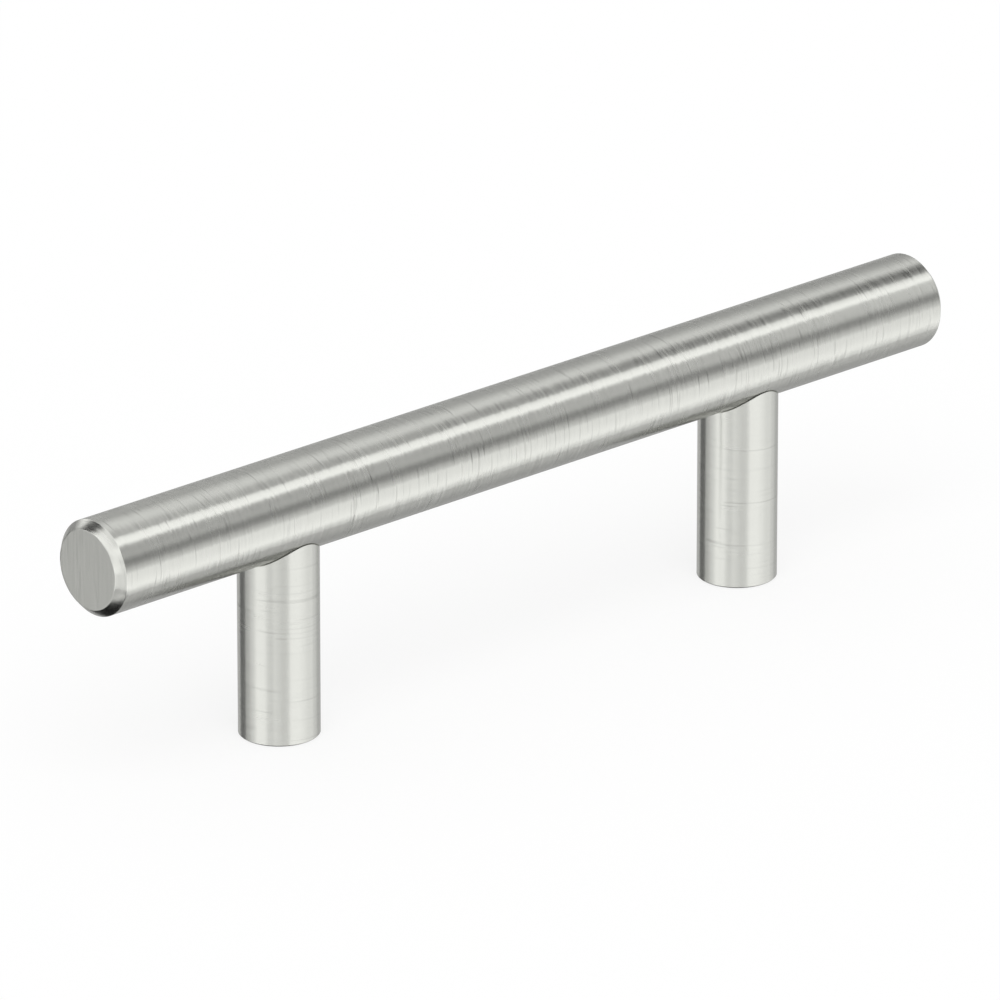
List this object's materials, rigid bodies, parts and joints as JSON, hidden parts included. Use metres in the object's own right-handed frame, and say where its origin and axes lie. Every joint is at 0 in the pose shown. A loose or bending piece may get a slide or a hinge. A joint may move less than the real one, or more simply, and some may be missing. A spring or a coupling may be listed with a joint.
{
  "type": "t bar cabinet pull",
  "caption": "Straight round bar handle with chamfered ends, carried on round posts coped to its underside, fixed by screws from behind a door or drawer front.",
  "frame": {"origin": "on the mounting face that the feet of the posts share, midway between the posts, where the bar's middle stands over it", "axes": "+X along the bar, +Z away from the door or drawer front and up as it stands on its feet, +Y across the bar"},
  "size_m": [0.1366, 0.012, 0.035],
  "materials": {
    "satin_nickel": "satin nickel over steel, brushed round the bar and round the posts",
    "zinc_steel": "bright zinc plated"
  },
  "bodies": {
    "root": {"bar": "satin_nickel", "left_post": "satin_nickel", "right_post": "satin_nickel", "left_stud": "zinc_steel", "right_stud": "zinc_steel"}
  },
  "joints": []
}
